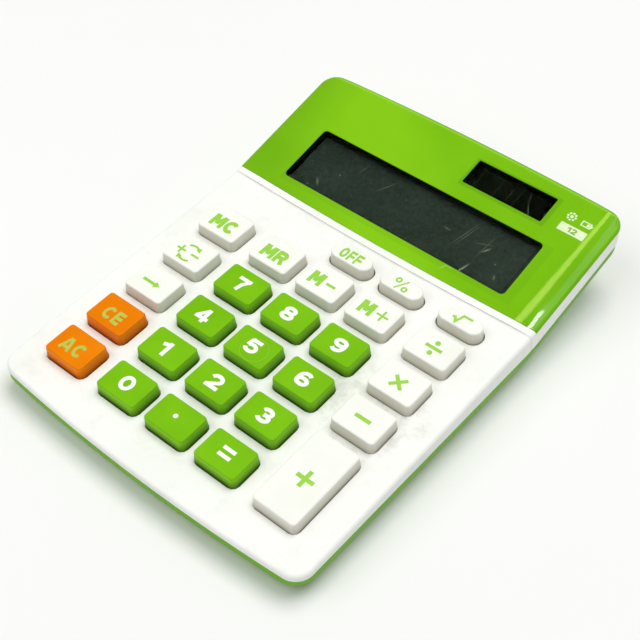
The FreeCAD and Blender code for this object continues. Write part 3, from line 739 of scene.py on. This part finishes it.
def ring(half_x, half_y, radius, steps):
    """Points round a rectangle with round corners."""
    points = []
    for quarter, (u, v) in enumerate([(1, 1), (-1, 1), (-1, -1), (1, -1)]):
        for i in range(steps + 1):
            turn = math.radians(90 * (quarter + i / steps))
            x = u * (half_x - radius) + radius * math.cos(turn)
            y = v * (half_y - radius) + radius * math.sin(turn)
            points.append((x, y))
    return points


KeySize = namedtuple("KeySize", "centre flange deck face top bottom")


def key_size(node):
    """Centre of a key, half sizes of its flange, of its sides at the deck and of its top face,
    and its highest and lowest level, in deck millimetres."""
    low, high = flat_box(node, DECK)
    centre = (low + high) / 2
    halves = [(high - low) / 2]
    for level in (0.0, high.z):
        there = [p - centre for p in flat_points(node, DECK) if abs(p.z - level) < LEVEL_SLACK]
        halves.append(Vector([max(abs(p[i]) for p in there) for i in (0, 1)]))
    return KeySize(centre, *halves, high.z, low.z)


def cap_fit(node):
    """Middle and half sizes of a cap at the deck, in deck millimetres."""
    key = key_size(node)
    trim = OVAL_TRIM if node in OVALS else CAP_TRIM
    shift = LAST_COLUMN_SHIFT if key.centre.x > LAST_COLUMN else CAP_SHIFT
    return Vector((key.centre.x + shift, key.centre.y + trim)), Vector((CAP_HALF, key.deck.y - trim))


def fit_openings(shape):
    """Draws each opening of the deck in to its cap, with the gap that it had."""
    flats = [(v, DECK.inverted() @ v.co / MM) for v in shape.verts]
    flats = [(v, flat) for v, flat in flats if -OPENING_DEPTH < flat.z < LEVEL_SLACK]
    for node in sorted(LEGENDS):
        key = key_size(node)
        middle, cap_half = cap_fit(node)
        shrink = [(cap_half[i] + OPENING_GAP) / (key.deck[i] + OPENING_GAP) for i in (0, 1)]
        for v, flat in flats:
            away = flat - key.centre
            if all(abs(away[i]) < key.deck[i] + OPENING_REACH for i in (0, 1)):
                x, y = (middle[i] + away[i] * shrink[i] for i in (0, 1))
                v.co = DECK @ (Vector((x, y, flat.z)) * MM)


def deck_spot(point):
    """Frame of the deck, moved to a point on it."""
    return DECK @ Matrix.Translation((point.x * MM, point.y * MM, 0))


def add_ring(shape, place, points, level):
    return [shape.verts.new(place @ Vector((x * MM, y * MM, level * MM))) for x, y in points]


def bridge(shape, low, high):
    """Band of faces between two rings."""
    for i in range(len(low)):
        shape.faces.new((low[i - 1], low[i], high[i], high[i - 1]))


def key_profile(taper, reach, top, bottom):
    """Insets and levels up a cap: inside its walls, round its flange and over its round top edge."""
    inner = taper + KEY_WALL
    rim = bottom + POST_DROP
    profile = [(inner, top - KEY_ROOF), (inner, rim), (-reach, rim)]
    profile += [(-reach, rim + FLANGE_THICKNESS), (0.0, rim + FLANGE_THICKNESS), (0.0, 0.0)]
    for i in range(KEY_FILLET_STEPS + 1):
        turn = math.pi / 2 * i / KEY_FILLET_STEPS
        profile.append((taper + KEY_FILLET * (1 - math.cos(turn)), top - KEY_FILLET * (1 - math.sin(turn))))
    return profile + [(taper + 2 * KEY_FILLET, top - KEY_DISH / 2)]


def key_mesh(node, corner):
    """Hollow moulded cap with a flange, a post, tapered sides, a round top edge and a faintly dished top.
    The post stays over the dome."""
    key = key_size(node)
    middle, cap_half = cap_fit(node)
    taper = max(key.deck.x - key.face.x - KEY_BEVEL, 0.0)
    shape = bmesh.new()
    rings = []
    for inset, level in key_profile(taper, key.flange.x - key.deck.x, key.top, key.bottom):
        radius = max(corner - inset, SMALLEST_CORNER)
        points = ring(cap_half.x - inset, cap_half.y - inset, radius, KEY_CORNER_STEPS)
        rings.append(add_ring(shape, deck_spot(middle), points, level))
    for low, high in zip(rings, rings[1:]):
        bridge(shape, low, high)
    shape.faces.new(rings[0])
    shape.faces.new(rings[-1])
    add_post(shape, deck_spot(key.centre), key.bottom, key.top - KEY_ROOF / 2)
    return to_mesh(node + "_cap", shape, CAP_ANGLE)


def add_post(shape, place, low, high):
    """Square post between two levels."""
    middle = Matrix.Translation((0, 0, (low + high) / 2 * MM))
    size = Matrix.Diagonal((POST_WIDTH * MM, POST_WIDTH * MM, (high - low) * MM, 1))
    bmesh.ops.create_cube(shape, size=1.0, matrix=place @ middle @ size)


# Rubber keypad: its sheet stays on the body, and each key has a dome of its own


def keypad_part(name, keep, centres):
    """Faces of the keypad that pass a test, closed again round each of the centres."""
    shape = welded("rubber_keypad")
    spare = [face for face in shape.faces if not keep(face)]
    bmesh.ops.delete(shape, geom=spare, context="FACES")
    for centre in centres:
        open_edges = [edge for edge in shape.edges if edge.is_boundary]
        cut = [e for e in open_edges if beside((e.verts[0].co + e.verts[1].co) / 2, centre)]
        bmesh.ops.bridge_loops(shape, edges=cut)
    return to_mesh(name, shape, RUBBER_ANGLE)


def beside(point, centre):
    """Whether a point lies within a dome's reach of its centre, seen square to the deck."""
    flat = DECK.inverted() @ point / MM
    return math.hypot(flat.x - centre.x, flat.y - centre.y) < DOME_REACH


def build_keypad(material):
    """The sheet on the body, and a loose dome for each key."""
    inverse = DECK.inverted()
    _, sheet_top, roof, _ = sorted({round(p.z, 2) for p in flat_points("rubber_keypad", DECK)})
    centres = {node: key_size(node).centre for node in sorted(LEGENDS)}

    def domed(face):
        return any((inverse @ v.co).z / MM > sheet_top + LEVEL_SLACK for v in face.verts)

    sheet = keypad_part("keypad_sheet", lambda face: not domed(face), centres.values())
    finish_piece("keypad_sheet", sheet, "body", material, ["rubber_keypad"])
    for node, centre in centres.items():
        mesh = keypad_part(
            node + "_dome", lambda face: domed(face) and beside(face.calc_center_median(), centre), [centre]
        )
        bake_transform(loose_piece(node + "_dome", mesh, material))


# Legends: strokes in millimetres round the centre of a key, joined into one flat outline


def bow(x, y, radius_x, radius_y, start, end):
    """Points along an ellipse, from one angle to another in degrees."""
    steps = max(int(abs(end - start) / BOW_STEP), 2)
    turns = [math.radians(start + (end - start) * i / steps) for i in range(steps + 1)]
    return [(x + radius_x * math.cos(t), y + radius_y * math.sin(t)) for t in turns]


def ribbon(path, thick):
    """Four-cornered pieces along a path, mitred where it turns.
    A path that ends where it starts is closed."""
    points = [Vector(p) for p in path]
    closed = (points[0] - points[-1]).length < SAME_POINT
    if closed:
        points.pop()
    count = len(points)
    edges = []
    for i, point in enumerate(points):
        before = point - points[i - 1] if closed or i else points[1] - point
        after = points[(i + 1) % count] - point if closed or i + 1 < count else before
        before, after = before.normalized(), after.normalized()
        across = Vector((-before.y - after.y, before.x + after.x)).normalized()
        reach = across * thick / 2 / across.dot(Vector((-before.y, before.x)))
        edges.append((point + reach, point - reach))
    if closed:
        edges.append(edges[0])
    return [[a[0], a[1], b[1], b[0]] for a, b in zip(edges, edges[1:])]


def disc(x, y, radius):
    return [bow(x, y, radius, radius, 0, 360)[:-1]]


def arrow_head(tip, turn, length, half):
    """Triangle that points along an angle in degrees."""
    along = Vector((math.cos(math.radians(turn)), math.sin(math.radians(turn))))
    across = Vector((-along.y, along.x)) * half
    base = Vector(tip) - along * length
    return [[Vector(tip), base + across, base - across]]


def joined(polygons, merge=True):
    """One flat outline that covers all the polygons, with their holes left open."""
    points, faces = [], []
    for polygon in polygons:
        corners = [Vector(p) for p in polygon]
        area = sum(a.cross(b) for a, b in zip(corners, corners[1:] + corners[:1]))
        faces.append(list(range(len(points), len(points) + len(corners))))
        points += corners if area > 0 else corners[::-1]
    found, _, triangles, _, _, origins = delaunay_2d_cdt(points, [], faces, INSIDE_FACES, MERGE_DISTANCE)
    shape = bmesh.new()
    corners = [shape.verts.new((p.x, p.y, 0)) for p in found]
    for triangle, origin in zip(triangles, origins):
        if origin:
            shape.faces.new([corners[i] for i in triangle])
    loose = [v for v in shape.verts if not v.link_faces]
    bmesh.ops.delete(shape, geom=loose, context="VERTS")
    if merge:
        bmesh.ops.dissolve_limit(shape, angle_limit=FLAT_TURN, verts=shape.verts, edges=shape.edges)
    return shape


# Glyphs stand on the line from 0 to 1 in height. Each has its width and the paths of its pen.
PEN = 0.235
BOLD_PEN = 0.29
LETTER_GAP = 0.13
SIX_RING = bow(0.43, 0.315, 0.312, 0.2, 0, 360)
SIX_STEM = bow(0.47, 0.5, 0.352, 0.384, 46, 180) + [(0.118, 0.315)]
GLYPHS = {
    "0": (0.86, [bow(0.43, 0.5, 0.312, 0.383, 0, 360)]),
    "1": (0.56, [[(0.44, 0), (0.44, 1)], [(0.03, 0.69), (0.42, 0.85)]]),
    "2": (0.86, [bow(0.43, 0.65, 0.312, 0.233, 172, -28) + [(0.15, 0.14)], [(0, 0.117), (0.86, 0.117)]]),
    "3": (0.86, [bow(0.42, 0.69, 0.28, 0.193, 165, -90) + bow(0.42, 0.312, 0.32, 0.195, 90, -165)]),
    "4": (0.9, [[(0.6, 0), (0.6, 1)], [(0, 0.29), (0.9, 0.29)], [(0.57, 0.92), (0.11, 0.32)]]),
    "5": (
        0.86,
        [
            [(0.82, 0.883), (0.14, 0.883)],
            [(0.2, 0.9), (0.14, 0.46)],
            bow(0.42, 0.35, 0.322, 0.233, 140, -165),
        ],
    ),
    "6": (0.86, [SIX_RING, SIX_STEM]),
    "7": (0.86, [[(0, 0.883), (0.86, 0.883)], [(0.73, 0.86), (0.47, 0.5), (0.36, 0)]]),
    "8": (0.86, [bow(0.43, 0.7, 0.275, 0.183, 0, 360), bow(0.43, 0.305, 0.312, 0.188, 0, 360)]),
    "9": (0.86, [[(0.86 - x, 1 - y) for x, y in path] for path in (SIX_RING, SIX_STEM)]),
    "A": (0.98, [[(0.12, 0), (0.43, 1)], [(0.86, 0), (0.55, 1)], [(0.26, 0.28), (0.72, 0.28)]]),
    "C": (0.86, [bow(0.46, 0.5, 0.342, 0.383, 42, 318)]),
    "E": (0.72, [[(0.118, 0), (0.118, 1)], *[[(0.1, y), (0.72, y)] for y in (0.1, 0.5, 0.9)]]),
    "F": (0.7, [[(0.118, 0), (0.118, 1)], *[[(0.1, y), (0.7, y)] for y in (0.47, 0.89)]]),
    "M": (
        0.98,
        [[(x, 0), (x, 1)] for x in (0.118, 0.862)] + [[(x, 0.97), (0.49, 0.25)] for x in (0.2, 0.78)],
    ),
    "O": (0.8, [bow(0.4, 0.5, 0.282, 0.383, 0, 360)]),
    "R": (
        0.86,
        [
            [(0.118, 0), (0.118, 1)],
            [(0.1, 0.89), *bow(0.46, 0.68, 0.25, 0.21, 90, -90), (0.1, 0.47)],
            [(0.5, 0.5), (0.74, 0)],
        ],
    ),
}


def word(text, width, height, pen=PEN):
    """Lettering drawn to a width and a height round the middle."""
    polygons, start = [], 0.0
    for letter in text:
        advance, paths = GLYPHS[letter]
        for path in paths:
            polygons += ribbon([(start + x, y) for x, y in path], pen)
        start += advance + LETTER_GAP
    span = start - LETTER_GAP
    return [[((p[0] / span - 0.5) * width, (p[1] - 0.5) * height) for p in polygon] for polygon in polygons]


def shifted(polygons, x, y):
    return [[(p[0] + x, p[1] + y) for p in polygon] for polygon in polygons]


def bar(x0, y0, x1, y1, thick):
    return ribbon([(x0, y0), (x1, y1)], thick)


def plus(x, y, half, thick):
    return bar(x - half, y, x + half, y, thick) + bar(x, y - half, x, y + half, thick)


def sign_marks():
    """Plus and minus with two arrows that swap them."""
    marks = plus(-2.95, 0, 1.7, SIGN_PEN) + bar(1.1, 0, 4.2, 0, SIGN_PEN)
    for turn in (0, 180):
        marks += ribbon(bow(0.2, 0, 3.3, 3.3, turn + 48, turn + 128), SIGN_PEN)
        tip = bow(0.2, 0, 3.2, 3.2, turn + 32, turn + 33)[0]
        marks += arrow_head(tip, turn - 50, 1.8, 1.0)
    return marks


def percent_marks():
    """Two small rings and the stroke between them."""
    marks = []
    for side in (-1, 1):
        marks += ribbon(bow(side * 1.75, -side * 1.15, 0.75, 0.8, 0, 360), 0.62)
    return marks + bar(1.3, 2.25, -1.3, -2.25, 0.55)


def bold(text, width):
    """Heavy lettering of the memory keys."""
    return word(text, width, BOLD_HEIGHT, BOLD_PEN)


# Each legend has its marks and its offset from the middle of its key.
ROOT_PATH = [(-2.95, -0.3), (-2.15, 0.05), (-1.2, -1.6), (-0.15, 1.65), (2.95, 1.65)]
DIGIT_PLACES = {
    "0": (-0.5, 0.35),
    "1": (-1.3, 0.1),
    "2": (-0.4, 0.3),
    "3": (-0.5, 0.3),
    "4": (-1.0, 0.2),
    "5": (-0.8, 0.35),
    "6": (-0.55, 0.5),
    "7": (-0.5, 0.1),
    "8": (-0.75, 0.2),
    "9": (-0.4, 0.0),
}
LEGENDS = {
    "key_" + digit: (word(digit, ONE_WIDTH if digit == "1" else DIGIT_WIDTH, DIGIT_HEIGHT), offset)
    for digit, offset in DIGIT_PLACES.items()
}
LEGENDS |= {
    "key_ac": (word("AC", 8.4, 4.8), (-0.9, -0.3)),
    "key_ce": (word("CE", 7.1, 4.8), (-0.6, -0.55)),
    "key_mc": (bold("MC", 9.2), (-0.7, -0.35)),
    "key_mr": (bold("MR", 8.9), (-0.85, -0.4)),
    "key_m_minus": (shifted(bold("M", 4.4), -2.4, 0) + bar(1.2, 0, 4.6, 0, 0.95), (-0.9, 0.1)),
    "key_m_plus": (shifted(bold("M", 4.5), -2.5, 0) + plus(3.1, 0.1, 2.1, 0.72), (-0.65, 0.2)),
    "key_off": (word("OFF", 7.9, 4.3), (-0.85, 0.25)),
    "key_percent": (percent_marks(), (-0.7, 0.4)),
    "key_plus": (plus(0, 0, 2.9, 1.3), (-0.05, -0.55)),
    "key_minus": (bar(-2.65, 0, 2.65, 0, 1.25), (-0.4, 0.1)),
    "key_times": (bar(-2.0, -2.0, 2.0, 2.0, 1.15) + bar(-2.0, 2.0, 2.0, -2.0, 1.15), (-0.4, -0.05)),
    "key_divide": (bar(-2.8, 0, 2.8, 0, 1.15) + disc(0, 2.1, 0.85) + disc(0, -2.1, 0.85), (-0.1, 0.0)),
    "key_equals": (bar(-2.2, 1.2, 2.2, 1.2, 1.2) + bar(-2.2, -1.2, 2.2, -1.2, 1.2), (-0.35, 0.55)),
    "key_point": (disc(0, 0, 0.75), (-0.8, 0.75)),
    "key_back": (bar(-3.3, 0, 1.7, 0, 1.05) + arrow_head((3.3, 0), 0, 1.9, 1.3), (-1.1, -0.2)),
    "key_sign": (sign_marks(), (-0.9, -0.3)),
    "key_root": (ribbon(ROOT_PATH, 0.8), (-0.1, 0.25)),
}


def level_zero(x):
    """Level of a flat ground, the same at every distance across."""
    return 0.0


def raised(shape, place, low, high, ground):
    """Turns a flat drawing into a thin solid between two levels over the ground of a plane."""
    bmesh.ops.recalc_face_normals(shape, faces=shape.faces)
    for face in shape.faces:
        if face.normal.z < 0:
            face.normal_flip()
    made = bmesh.ops.extrude_face_region(shape, geom=list(shape.faces))
    lifted = {v for v in made["geom"] if isinstance(v, bmesh.types.BMVert)}
    for v in shape.verts:
        level = ground(v.co.x) + (high if v in lifted else low)
        v.co = place @ Vector((v.co.x * MM, v.co.y * MM, level * MM))
    return shape


def flat_mesh(name, shape, place, low, high, ground=level_zero):
    return to_mesh(name, raised(shape, place, low, high, ground), MARK_ANGLE)


# Keys


def mark_key(name, node, marks, offset, ink):
    """Thin printed marks on top of a key, round its middle moved by an offset."""
    key = key_size(node)
    place = deck_spot(key.centre.to_2d() + Vector(offset))
    dished = key.top - KEY_DISH / 2
    mesh = flat_mesh(name, joined(marks), place, dished - LEGEND_SUNK, dished + LEGEND_PROUD)
    finish_piece(name, mesh, node, ink)


def build_keys(caps, inks, ring_ink):
    """A cap with its legend for each key, and the ring round the 5."""
    slot_of = {row["node"]: row["material_slot"] for row in frame["record"]["subparts"]}
    for node, (marks, offset) in sorted(LEGENDS.items()):
        slot = slot_of[node]
        mesh = key_mesh(node, OVAL_CORNER if node in OVALS else KEY_CORNER)
        weighted(finish_piece(node + "_cap", mesh, node, caps[slot], [node]))
        mark_key(node + "_legend", node, marks, offset, inks[LEGEND_INKS[slot]])
    ring_marks = ribbon(bow(0, 0, *RING_RADII, 0, 360), RING_PEN)
    mark_key("key_5_ring", "key_5", ring_marks, RING_PLACE, ring_ink)


# Marks on the panel


def sun_marks():
    """Sun mark: a dot in a ring of smaller dots."""
    marks = disc(0, 0, SUN_DOT)
    for ray in range(SUN_RAYS):
        turn = math.tau * ray / SUN_RAYS
        marks += disc(SUN_RADIUS * math.cos(turn), SUN_RADIUS * math.sin(turn), SUN_RAY_DOT)
    return marks


def battery_marks():
    """Battery mark: an open case with a nub and one filled half."""
    case = ribbon([(-1.75, -0.85), (1.25, -0.85), (1.25, 0.85), (-1.75, 0.85), (-1.75, -0.85)], 0.36)
    return case + bar(0.45, -0.5, 0.45, 0.5, 1.0) + bar(1.65, -0.4, 1.65, 0.4, 0.5)


def plate_marks():
    """Bare plate in narrow columns, which bend with the panel."""
    width, height = PLATE_SIZE
    step = width / PLATE_COLUMNS
    edges = [i * step - width / 2 for i in range(PLATE_COLUMNS)]
    return [piece for x in edges for piece in bar(x, 0, x + step, 0, height)]


def panel_level(x):
    """Level of the panel's top at a distance across, below the display plane."""
    run = max(abs(x) - (PANEL_HALF - CROWN_RUN), 0.0)
    bend = (CROWN_RUN**2 + CROWN_DROP**2) / (2 * CROWN_DROP)
    return math.sqrt(bend**2 - run**2) - bend


def build_panel_marks(ink, plate_ink, number_ink):
    """Sun, battery and plate on the panel, and the number on top of the plate."""
    drawings = [
        ("sun_mark", sun_marks(), SUN_PLACE, ink, 0.0),
        ("battery_mark", battery_marks(), BATTERY_PLACE, ink, 0.0),
        ("number_plate", plate_marks(), PLATE_PLACE, plate_ink, 0.0),
        ("plate_number", word(PLATE_NUMBER, *NUMBER_SIZE), PLATE_PLACE, number_ink, LEGEND_PROUD),
    ]
    for name, marks, (x, s), material, lift in drawings:
        shape = joined(shifted(marks, x, s), merge=False)
        mesh = flat_mesh(name, shape, DISPLAY, lift - LEGEND_SUNK, lift + LEGEND_PROUD, panel_level)
        finish_piece(name, mesh, "body", material)


# Stage, light and camera


def build_floor(material):
    shape = bmesh.new()
    bmesh.ops.create_grid(shape, x_segments=1, y_segments=1, size=FLOOR_HALF * MM)
    mesh = bpy.data.meshes.new("floor")
    shape.to_mesh(mesh)
    shape.free()
    paint(mesh, material)
    floor = new_object("floor", mesh)


def area_light(name, place, size, power, turn, tint):
    """Flat light that faces straight down, turned about the upright."""
    light = bpy.data.lights.new(name, "AREA")
    light.shape = "RECTANGLE"
    light.size, light.size_y = Vector(size) * MM
    light.energy = power
    light.color = tint
    holder = new_object(name, light)
    holder.location = Vector(place) * MM
    holder.rotation_euler = (0, 0, math.radians(turn))


def build_light():
    """Even room light, broad lamps overhead and in front, and two small ones mirrored in the panel's edge."""
    world = bpy.data.worlds.new("studio")
    bpy.context.scene.world = world
    world.use_nodes = True
    background = world.node_tree.nodes["Background"]
    feed(world.node_tree, background, {"Color": (*WHITE, 1.0), "Strength": ROOM_LIGHT})
    for name, settings in LIGHTS.items():
        area_light(name, *settings)
    bpy.context.scene.view_settings.view_transform = "Standard"


def build_camera():
    camera = bpy.data.cameras.new("camera")
    camera.sensor_width = SENSOR
    camera.lens = LENS
    camera.clip_start = CLIP_START * MM
    holder = new_object("camera", camera)
    holder.location = CAMERA_PLACE * MM
    holder.rotation_euler = (CAMERA_TARGET - CAMERA_PLACE).to_track_quat("-Z", "Y").to_euler()
    bpy.context.scene.camera = holder


# The whole scene

black = moulded_plastic("black_plastic", "0e120c", "141a10", "20261c", 0.55)
white = white_housing()
lower_green = moulded_plastic("lower_green", "6fae1c", "69a71a", "86c23a", 0.42)
lens = clear_plastic()
steel = metal("screw_steel", "b8b8ba", "96969a", 0.3)
rubber = moulded_plastic("foot_rubber", "1a1a1a", "222222", "2c2c2c", 0.8, COARSE_GRAIN)
insulation = moulded_plastic("lead_insulation", "a01c14", "8c1812", "b83228", 0.5)

smooth_copy("upper_housing", white, fit=fit_openings)
smooth_copy("lower_housing", lower_green)
smooth_copy("display_panel", panel_green())
for node in ("lcd_lens", "solar_lens"):
    # Black round each lens rim: partly the dark frame, partly painted shade of the recess
    frame_and_shade_rim(smooth_copy(node, lens), node, black)
smooth_copy("battery_cover", lower_green)
smooth_copy("rubber_feet", rubber)

build_keys(
    {
        slot: moulded_plastic(slot, *top, KEY_ROUGHNESS, shine=KEY_SHINE, walls=walls)
        # Each kind of key: its top colours, then its painted wall tone (lighter on green and orange keys,
        # darker on white ones) and the painted shade at its foot
        for slot, top, walls in (
            ("key_green", ("7bbf15", "74b711", "8ccb35"), ("8acf1b", "2b5409")),
            ("key_white", ("f4f5ee", "eff0e7", "fafaf6"), ("e7e6da", "c4c2b2")),
            ("key_orange", ("ec8303", "e47a02", "f59a2c"), ("fb8a03", "aa4c03")),
        )
    },
    {
        "ink_white": printed_ink("ink_white", "fbfbf8", "f2f3ee"),
        "ink_green": printed_ink("ink_green", "98d43c", "8fcb34"),
        "ink_pale_green": printed_ink("ink_pale_green", "b9c94a", "aebd40"),
    },
    printed_ink("ring_green", "84c42a", "7dbd20"),
)
build_keypad(moulded_plastic("silicone", "d8d8d2", "cfcfc8", "e4e4de", 0.6))
build_panel_marks(
    printed_ink("mark_pale", "e6f3cc", "d6ebb2"),
    printed_ink("plate_pale", "e2f0c8", "d4e6b4"),
    printed_ink("plate_number", "6fae1c", "67a418"),
)

for node, material in {
    "display_frame": black,
    "lcd_holder": black,
    "lcd_glass": lcd_face(),
    "solar_cell": solar_face(),
    "lcd_ribbon": moulded_plastic("ribbon", "a86c1c", "965f18", "bd8433", 0.4),
    "solar_leads": insulation,
    "battery_leads": insulation,
    "main_board": circuit_board(),
    "chip_cover": moulded_plastic("epoxy", "0b0b0b", "151515", "1d1d1d", 0.35),
    "board_screws": steel,
    "case_screws": steel,
    "battery_cover_screw": steel,
    "battery_cell": metal("cell_steel", "c8c8ca", "b0b0b4", 0.25),
    "battery_contact_minus": metal("contact_minus", "bcb8ac", "a49f92", 0.3),
    "battery_contact_plus": metal("contact_plus", "c0bcb0", "a8a496", 0.3),
}.items():
    paint(frame["nodes"][node].data, material)

build_floor(floor_paper())
build_light()
build_camera()
